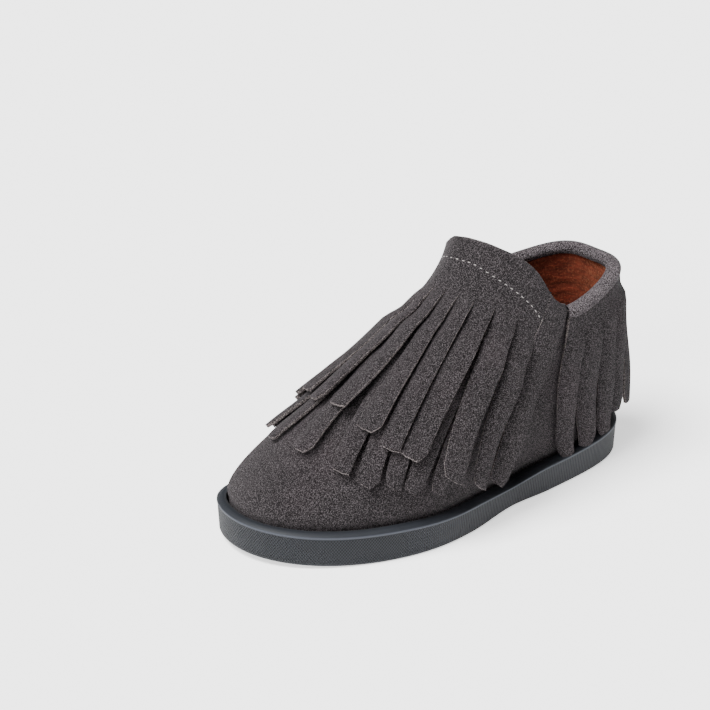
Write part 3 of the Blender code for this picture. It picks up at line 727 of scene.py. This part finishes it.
def metal_look(name, tone, roughness):
    """Cast zinc in a dark nickel plate, tumbled, so fine scuffs break its shine."""
    look, tree, shader = new_look(name, Metallic=1.0)
    spot = add_node(tree, "ShaderNodeTexCoord").outputs["Object"]
    scuffs = add_node(tree, "ShaderNodeTexNoise", {"Vector": spot, "Scale": 900.0, "Detail": 4.0, "Roughness": 0.7})
    rough = add_node(
        tree,
        "ShaderNodeMapRange",
        {"Value": scuffs.outputs["Fac"], "To Min": roughness - 0.08, "To Max": roughness + 0.2},
    ).outputs["Result"]
    tree.links.new(rough, shader.inputs["Roughness"])
    worn = add_node(
        tree, "ShaderNodeMapRange", {"Value": scuffs.outputs["Fac"], "From Min": 0.45, "From Max": 0.75}
    ).outputs["Result"]
    tree.links.new(blend_colours(tree, worn, colour(tone), colour("#8b8d92")), shader.inputs["Base Color"])
    bump = add_node(tree, "ShaderNodeBump", {"Strength": 0.15, "Distance": 0.0001, "Height": scuffs.outputs["Fac"]})
    tree.links.new(bump.outputs["Normal"], shader.inputs["Normal"])
    return look


def thread_look():
    """Polyester sewing thread in light grey, with the slight shine of twisted filament."""
    look, tree, shader = new_look("light grey polyester thread", Roughness=0.55, Sheen_Weight=0.3)
    spot = add_node(tree, "ShaderNodeTexCoord").outputs["Object"]
    twist = add_node(tree, "ShaderNodeTexNoise", {"Vector": spot, "Scale": 2400.0, "Detail": 1.0})
    tree.links.new(
        blend_colours(tree, twist.outputs["Fac"], colour("#6f6b6a"), colour("#aaa5a2")), shader.inputs["Base Color"]
    )
    return look


def shared_looks():
    """The suede, its cut edges and the lining, each made once and then shared."""
    made = bpy.data.materials
    if "grey split suede" not in made:
        suede_look("grey split suede", "#171516", "#1f1c1d", "#514c4e")
        suede_look("suede cut edge", "#474141", "#5c5555", "#8e8684", 0.6)
        # a paler copy of the suede for the roll: painted highlight, the rolled collar drawn as if lit
        suede_look("suede with painted highlight for the roll", "#2a2628", "#3a3537", "#777073", 0.8)
        lining_look()
    return {
        "suede": made["grey split suede"],
        "cut": made["suede cut edge"],
        "roll": made["suede with painted highlight for the roll"],
        "lining": made["rust brushed felt"],
    }


class BootSizes(bpy.types.PropertyGroup):
    """Sizes of the soft pieces."""

    suede: bpy.props.FloatProperty(
        name="Suede", description="Thickness of the suede", default=0.0013, unit="LENGTH"
    )
    lining: bpy.props.FloatProperty(
        name="Lining", description="Thickness of the lining", default=0.0010, unit="LENGTH"
    )
    arch: bpy.props.FloatProperty(
        name="Strip crown", description="How far the middle of a strip stands up", default=0.0006, unit="LENGTH"
    )
    ripple: bpy.props.FloatProperty(
        name="Ripple", description="Height of the waves down a strip", default=0.0003, unit="LENGTH"
    )
    stitch_inset: bpy.props.FloatProperty(
        name="Stitch inset", description="From the collar's edge to the stitches", default=0.0084, unit="LENGTH"
    )
    stitch: bpy.props.FloatProperty(
        name="Stitch", description="Length of one stitch", default=0.0016, unit="LENGTH"
    )
    stitch_pitch: bpy.props.FloatProperty(
        name="Stitch pitch", description="From one stitch to the next", default=0.0027, unit="LENGTH"
    )
    roll: bpy.props.FloatProperty(
        name="Roll", description="How far the padded collar stands off the upper", default=0.0027, unit="LENGTH"
    )


class BootColours(bpy.types.PropertyGroup):
    """Colours that a user may change."""

    floor: bpy.props.FloatVectorProperty(
        name="Floor", description="Colour of the floor", subtype="COLOR", size=4, default=colour("#f7f7f7")
    )


def place_width(place, distance):
    """How many metres one place round the last is wide."""
    before, after = (on_last(LAST_SURFACE, place + side, distance) for side in (-0.05, 0.05))
    return np.linalg.norm(after - before) / 0.1


def strip_shape(strip, start, root, top, band, covers, rises, loose, sizes):
    """A function of a share across and a share down a strip that gives its place, distance and lift."""
    tip, reach, width, lift, clip, over, bend = strip
    span = place_width(tip, reach * FRONT_HEIGHT)
    half = width / 2000 / span
    slit = SLIT / span

    def shape(s, t):
        row = t * (BAND_ROWS + STRIP_ROWS)
        down = min(row / BAND_ROWS, 1.0) ** 2
        share = max(0.0, row - BAND_ROWS) / STRIP_ROWS
        side = 2 * s - 1
        cut = TIP_CUT * max(0.0, abs(side) - 0.5) * 2 * (1 + 0.7 * clip * side)
        distance = mix(top, band, down) if share == 0 else mix(band, reach * FRONT_HEIGHT - cut, share)
        left = mix(mix(start[0], root[0], down), tip - half, share)
        right = mix(mix(start[1], root[1], down), tip + half, share)
        place = mix(left, right, s) - side * slit * ease(share * 6)
        place += bend / 1000 / span * math.sin(math.pi * share)
        spread = max(ease(share * 7), loose * down * 0.5)
        off = 0.0005 + covers * ease((distance - LOWER_TOP + TIER_RAMP) / TIER_RAMP)
        off += lift * share**2 * sizes.suede
        off += over * spread * (0.5 - 0.5 * side * rises) * sizes.suede
        off += sizes.arch * (1 - side * side) * spread
        off += sizes.ripple * math.sin(share * 9 + 40 * tip) * spread
        return place, distance, off

    return shape


def make_fringe(name, node, ends, top, band, strips, looks, sizes, slant=0.0, covers=0.0, edge=skin):
    """A tier of suede, whole down to its band and cut into strips below it; edge shapes what lies over the collar."""
    count = len(strips)
    starts = [mix(*ends, number / count) for number in range(count + 1)]
    feet = (place_beside(ends[0], slant, band), ends[1])
    roots = [mix(*feet, number / count) for number in range(count + 1)]
    bm = bmesh.new()
    for number, strip in enumerate(strips):
        start, root = starts[number : number + 2], roots[number : number + 2]
        rises = 1 if strip[0] < 6.5 else -1
        loose = 1 if slant and number == 0 else 0
        strip_at = strip_shape(strip, start, root, top, band, covers, rises, loose, sizes)

        def shape(s, t):
            place, distance, off = strip_at(s, t)
            return edge(place, distance, off) if distance < band else skin(place, distance, off)

        size = (strip[2] / 1000, strip[1] * FRONT_HEIGHT - top)
        shaped_grid(bm, STRIP_COLUMNS, BAND_ROWS + STRIP_ROWS, shape, size)
    bmesh.ops.remove_doubles(bm, verts=bm.verts, dist=0.00002)
    piece = add_piece(name, bm, looks, (node,))
    thicken(piece, sizes.suede, 1, 1)
    return piece


def front_range():
    """The places where the suede over the front starts and ends, at the notch and at the zip."""
    first = place_beside(NOTCH_LINE, NOTCH_SLIT / 2)
    return first, place_beside(ZIP_LINE, -TAPE_WIDTH / 2 - ZIP_MARGIN)


def heel_range():
    """The places where the suede round the heel starts and ends, at the zip and at the notch."""
    first = place_beside(ZIP_LINE, TAPE_WIDTH / 2 + ZIP_MARGIN) - LINES
    return first, place_beside(NOTCH_LINE, -NOTCH_SLIT / 2)


class BOOT_OT_stage(bpy.types.Operator):
    """Makes the floor, the soft lights and the camera"""

    bl_idname = "boot.stage"
    bl_label = "Stage"

    def execute(self, context):
        bm = bmesh.new()
        bmesh.ops.create_grid(bm, x_segments=1, y_segments=1, size=4.0)
        mesh = bpy.data.meshes.new("floor")
        bm.to_mesh(mesh)
        bm.free()
        look, tree, shader = new_look("matt white paper sweep", Roughness=1.0, Specular_IOR_Level=0.0)
        spot = add_node(tree, "ShaderNodeTexCoord").outputs["Object"]
        fibre = add_node(tree, "ShaderNodeTexNoise", {"Vector": spot, "Scale": 40.0, "Detail": 2.0})
        tint = context.scene.boot_colours.floor
        pale = tuple(min(1.0, part * 1.01) for part in tint[:3]) + (1.0,)
        tree.links.new(blend_colours(tree, fibre.outputs["Fac"], tuple(tint), pale), shader.inputs["Base Color"])
        # lit from below as well, as a product table is
        shader.inputs["Emission Color"].default_value = tuple(tint)
        shader.inputs["Emission Strength"].default_value = 1.2
        mesh.materials.append(look)
        floor = bpy.data.objects.new("floor", mesh)
        floor.location = (0, 0, -0.0002)
        context.scene.collection.objects.link(floor)

        world = context.scene.world or bpy.data.worlds.new("studio")
        context.scene.world = world
        world.use_nodes = True
        backdrop = world.node_tree.nodes["Background"]
        backdrop.inputs["Color"].default_value = (1, 1, 1, 1)
        backdrop.inputs["Strength"].default_value = 0.22

        for name, energy, angle, turn in (
            ("soft box above", 8.20, 32, (2, 28, 0)),
            ("strip light from the toe", 2.10, 22, (-20, 60, 0)),
        ):
            lamp = bpy.data.lights.new(name, "SUN")
            lamp.energy = energy
            lamp.angle = math.radians(angle)
            light = bpy.data.objects.new(name, lamp)
            light.rotation_euler = [math.radians(part) for part in turn]
            context.scene.collection.objects.link(light)

        azimuth, elevation, roll = (math.radians(part) for part in (139.0, 24.0, 0.6197))
        distance, focal, centre_x, centre_y = 1.23718, 3068.138, 431.632, 390.524
        target = Vector((0.066, 0, 0.045))
        right = Vector((math.cos(azimuth), math.sin(azimuth), 0))
        back = Vector(
            (math.sin(azimuth) * math.cos(elevation), -math.cos(azimuth) * math.cos(elevation), math.sin(elevation))
        )
        up = back.cross(right)
        rolled_right = right * math.cos(roll) + up * math.sin(roll)
        rolled_up = up * math.cos(roll) - right * math.sin(roll)
        lens = bpy.data.cameras.new("camera")
        lens.sensor_width = 36
        lens.lens = focal / 710 * 36
        lens.clip_end = 20
        aim = -back * focal + rolled_right * (355 - centre_x) - rolled_up * (355 - centre_y)
        behind = -aim.normalized()
        side = rolled_up.cross(behind).normalized()
        turn = Matrix((side, behind.cross(side), behind)).transposed().to_4x4()
        camera = bpy.data.objects.new("camera", lens)
        camera.matrix_world = Matrix.Translation(target + back * distance) @ turn
        context.scene.collection.objects.link(camera)
        context.scene.camera = camera
        return {"FINISHED"}


class BOOT_OT_sole(bpy.types.Operator):
    """Makes the textured side and lip of the sole, and gives the tread its rubber"""

    bl_idname = "boot.sole"
    bl_label = "Sole"

    def execute(self, context):
        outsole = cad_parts["outsole"]
        outsole.data.materials.clear()
        outsole.data.materials.append(rubber_look())

        count = 360
        proud = 0.00012
        outline = [edge_point(len(SOLE_OUTLINE) * i / count, 0) for i in range(count + 1)]
        run = np.concatenate(([0], np.cumsum([np.linalg.norm(b - a) for a, b in zip(outline, outline[1:])])))
        rows = len(SOLE_SIDE) - 1

        def shape(u, v):
            place = len(SOLE_OUTLINE) * u
            level, inset = SOLE_SIDE[round(v * rows)]
            width = rim_width(sole_outline(place)[0])
            plan = edge_point(place, inset * width - proud * (1 if v < 0.99 else 0))
            along = share_along(plan[0])
            return (*plan, mix(underside(along), rim_top(along), level))

        bm = bmesh.new()
        verts = shaped_grid(bm, count, rows, shape)
        uv = bm.loops.layers.uv.verify()
        for face in bm.faces:
            for loop in face.loops:
                around = np.interp(loop[uv].uv[0], np.linspace(0, 1, count + 1), run)
                loop[uv].uv = (around, SOLE_SIDE[round(loop[uv].uv[1] * rows)][0] * SOLE_HEIGHT)
        bmesh.ops.remove_doubles(bm, verts=verts, dist=0.00001)
        bmesh.ops.reverse_faces(bm, faces=bm.faces)
        add_piece("sole_side", bm, [foxing_look()])
        return {"FINISHED"}


class BOOT_OT_upper(bpy.types.Operator):
    """Makes the suede shell, the felt lining and the sock inside"""

    bl_idname = "boot.upper"
    bl_label = "Upper"

    def execute(self, context):
        sizes = context.scene.boot_sizes
        looks = shared_looks()
        top = 0.0022
        under = 0.0045

        def shell(u, v):
            place = LINES * u
            length = line_length(place)
            distance = mix(top, length + under, v)
            softness = noise.noise(Vector(skin(place, distance)) * 55) * 0.00025
            tuck = 0.0009 * ease((distance - length + 0.0035) / 0.0035)
            return skin(place, distance, softness - tuck)

        bm = bmesh.new()
        shaped_grid(bm, 264, 72, shell, (0.40, 0.12))
        bmesh.ops.remove_doubles(bm, verts=bm.verts, dist=0.00001)
        piece = add_piece("upper_suede", bm, [looks["suede"], looks["cut"]], ("upper",))
        thicken(piece, 0.0012, -1, 1, 0)

        def lining(u, v):
            place = LINES * (1 - u)
            front = 1 if NOTCH_LINE < place % LINES < ZIP_LINE else 0
            length = line_length(place)
            distance = mix(0.0003 if front else 0.0026, length + under - 0.0010, v)
            ruck = noise.noise(Vector(skin(place, distance)) * Vector((130, 130, 330))) * 0.0005
            return skin(place, distance, -WALL + 0.0002 + ruck * ease(distance / 0.004))

        bm = bmesh.new()
        shaped_grid(bm, 300, 96, lining, (0.40, 0.12))
        bmesh.ops.remove_doubles(bm, verts=bm.verts, dist=0.00001)
        piece = add_piece("upper_lining", bm, [looks["lining"]], ("upper",))
        thicken(piece, sizes.lining, -1, 0, 0)

        bm = bmesh.new()
        bm.from_mesh(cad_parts["insole"].data)
        bmesh.ops.remove_doubles(bm, verts=bm.verts, dist=0.00001)
        bmesh.ops.dissolve_limit(bm, angle_limit=math.radians(4), verts=bm.verts, edges=bm.edges)
        rim = [edge for edge in bm.edges if edge.is_manifold and edge.calc_face_angle() > math.radians(60)]
        bmesh.ops.bevel(
            bm, geom=rim, offset=0.0008, offset_type="OFFSET", segments=3, profile=0.5, affect="EDGES", material=-1
        )
        add_piece("sock", bm, [looks["lining"]], ("insole",))
        return {"FINISHED"}


class BOOT_OT_fringe(bpy.types.Operator):
    """Makes the two tiers of fringe over the front and the tier round the heel"""

    bl_idname = "boot.fringe"
    bl_label = "Fringe"

    def execute(self, context):
        sizes = context.scene.boot_sizes
        looks = shared_looks()
        suede = [looks["suede"], looks["cut"]]
        cover = sizes.suede + 0.0009

        def folded_edge(place, distance, off):
            return folded(place, distance, off, -0.0022)

        front = (front_range(), -0.0048, FRONT_BAND, FRONT_STRIPS, suede, sizes, BAND_SLANT, cover, folded_edge)
        make_fringe("front_fringe_suede", "fringe_front_upper", *front)
        lower = ((LOWER_FIRST, LOWER_LAST), LOWER_TOP, LOWER_BAND, LOWER_STRIPS, suede, sizes)
        make_fringe("lower_fringe_suede", "fringe_front_lower", *lower)
        heel = (heel_range(), ROLL_HEIGHT - 0.0008, HEEL_BAND, HEEL_STRIPS, suede, sizes)
        make_fringe("heel_fringe_suede", "fringe_heel", *heel)
        return {"FINISHED"}


class BOOT_OT_collar(bpy.types.Operator):
    """Makes the padded roll of the rear collar and the stitches of the front one"""

    bl_idname = "boot.collar"
    bl_label = "Collar"

    def execute(self, context):
        sizes = context.scene.boot_sizes
        looks = shared_looks()
        first, last = heel_range()
        length = 0.12
        inside = -0.0070

        def roll(u, v):
            place = mix(first, last, u)
            ends = ease(min(u, 1 - u) * length / 0.0018)
            run = mix(inside, ROLL_HEIGHT, v)
            swell = 0.35 + 0.65 * math.sin(math.pi * clamp((run - inside) / (ROLL_HEIGHT - inside)) ** 0.9) ** 0.6
            softness = noise.noise(Vector(skin(place, run)) * 90) * 0.0002
            outer = (0.0002 + sizes.roll * swell + softness) * mix(0.45, 1, ends)
            return folded(place, run, outer, -WALL - 0.0020 * swell * mix(0.3, 1, ends))

        bm = bmesh.new()
        shaped_grid(bm, 150, 26, roll, (length, ROLL_HEIGHT - inside))
        bmesh.ops.recalc_face_normals(bm, faces=bm.faces)
        # the roll wears the paler copy of the suede, a painted highlight
        piece = add_piece("padded_collar", bm, [looks["roll"]], ("collar_roll",))

        start, end = front_range()
        bm = bmesh.new()
        place = place_beside(start, 0.017)
        while place < place_beside(end, -0.004):
            inset = sizes.stitch_inset + 0.0045 * ease((4.9 - place) / 1.8)
            after = place_beside(place, sizes.stitch, inset)
            a = Vector(skin(place, inset, 0.0004 + sizes.suede))
            b = Vector(skin(after, inset, 0.0004 + sizes.suede))
            out = Vector(on_last(LAST_NORMALS, (place + after) / 2, inset))
            run = (b - a).normalized()
            turn = Matrix((run, out.cross(run).normalized(), out)).transposed().to_4x4()
            middle = Matrix.Translation((a + b) / 2) @ turn
            bmesh.ops.create_icosphere(
                bm,
                subdivisions=2,
                radius=0.5,
                matrix=middle @ Matrix.Diagonal((sizes.stitch, 0.00042, 0.0004, 1)),
            )
            place = place_beside(place, sizes.stitch_pitch, inset)
        add_piece("collar_stitches", bm, [thread_look()])
        return {"FINISHED"}


class BOOT_OT_zip(bpy.types.Operator):
    """Makes the woven tape and the teeth of the zip, and gives the slider and the pull their metal"""

    bl_idname = "boot.zip"
    bl_label = "Zip"

    def execute(self, context):
        def tape(u, v):
            distance = mix(0.0012, ZIP_DROP, v)
            side = mix(-TAPE_WIDTH / 2, TAPE_WIDTH / 2, u)
            return skin(place_beside(ZIP_LINE, side, distance), distance, GAP)

        bm = bmesh.new()
        shaped_grid(bm, 10, 60, tape, (TAPE_WIDTH, ZIP_DROP))
        piece = add_piece("woven_zip_tape", bm, [tape_look()], ("zip_tape",))
        thicken(piece, TAPE_THICKNESS, 1, 0, 0.0001)

        bm = bmesh.new()
        start = SLIDER_DROP + SLIDER_LENGTH / 2 + 3 * GAP
        count = int((ZIP_DROP - start - 0.002) / TOOTH_PITCH * 2)
        for number in range(count):
            distance = start + 0.0006 + number * TOOTH_PITCH / 2
            side = (-1 if number % 2 else 1) * CHAIN_WIDTH * 0.20
            base = Vector(skin(place_beside(ZIP_LINE, side, distance), distance, GAP * 2 + TAPE_THICKNESS))
            out = Vector(on_last(LAST_NORMALS, ZIP_LINE, distance))
            down = (Vector(skin(ZIP_LINE, distance + 0.001)) - Vector(skin(ZIP_LINE, distance))).normalized()
            across = out.cross(down).normalized()
            turn = Matrix((across, down, out)).transposed().to_4x4()
            size = Matrix.Diagonal((CHAIN_WIDTH * 0.58, TOOTH_PITCH * 0.36, CHAIN_PROUD, 1))
            made = bmesh.ops.create_cube(
                bm, size=1, matrix=Matrix.Translation(base + out * CHAIN_PROUD / 2) @ turn @ size
            )
            edges = {edge for vert in made["verts"] for edge in vert.link_edges}
            bmesh.ops.bevel(
                bm, geom=list(edges), offset=0.00012, offset_type="OFFSET", segments=1, profile=0.5,
                affect="EDGES", material=-1,
            )
        add_piece("zip_teeth", bm, [metal_look("dark nickel teeth", "#3a3b3f", 0.35)], ("zip_chain",))

        metal = metal_look("dark nickel plate", "#47484d", 0.3)
        for name in ("zip_slider", "zip_pull"):
            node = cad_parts[name]
            node.data.materials.clear()
            node.data.materials.append(metal)
        return {"FINISHED"}


class BOOT_PT_panel(bpy.types.Panel):
    """Lists the steps that dress the boot"""

    bl_label = "Fringe Ankle Boot"
    bl_space_type = "VIEW_3D"
    bl_region_type = "UI"
    bl_category = "Boot"

    def draw(self, context):
        for step in STEPS:
            self.layout.operator(step.bl_idname)


STEPS = (BOOT_OT_stage, BOOT_OT_sole, BOOT_OT_upper, BOOT_OT_fringe, BOOT_OT_collar, BOOT_OT_zip)
GROUPS = (BootSizes, BootColours)


def register():
    for part in (*GROUPS, *STEPS, BOOT_PT_panel):
        bpy.utils.register_class(part)
    bpy.types.Scene.boot_sizes = bpy.props.PointerProperty(type=BootSizes)
    bpy.types.Scene.boot_colours = bpy.props.PointerProperty(type=BootColours)


def unregister():
    for name in ("boot_sizes", "boot_colours"):
        delattr(bpy.types.Scene, name)
    for part in (*GROUPS, *STEPS, BOOT_PT_panel):
        bpy.utils.unregister_class(part)


def main():
    register()
    bpy.ops.boot.stage()
    bpy.ops.boot.sole()
    bpy.ops.boot.upper()
    bpy.ops.boot.fringe()
    bpy.ops.boot.collar()
    bpy.ops.boot.zip()


if __name__ == "__main__":
    main()
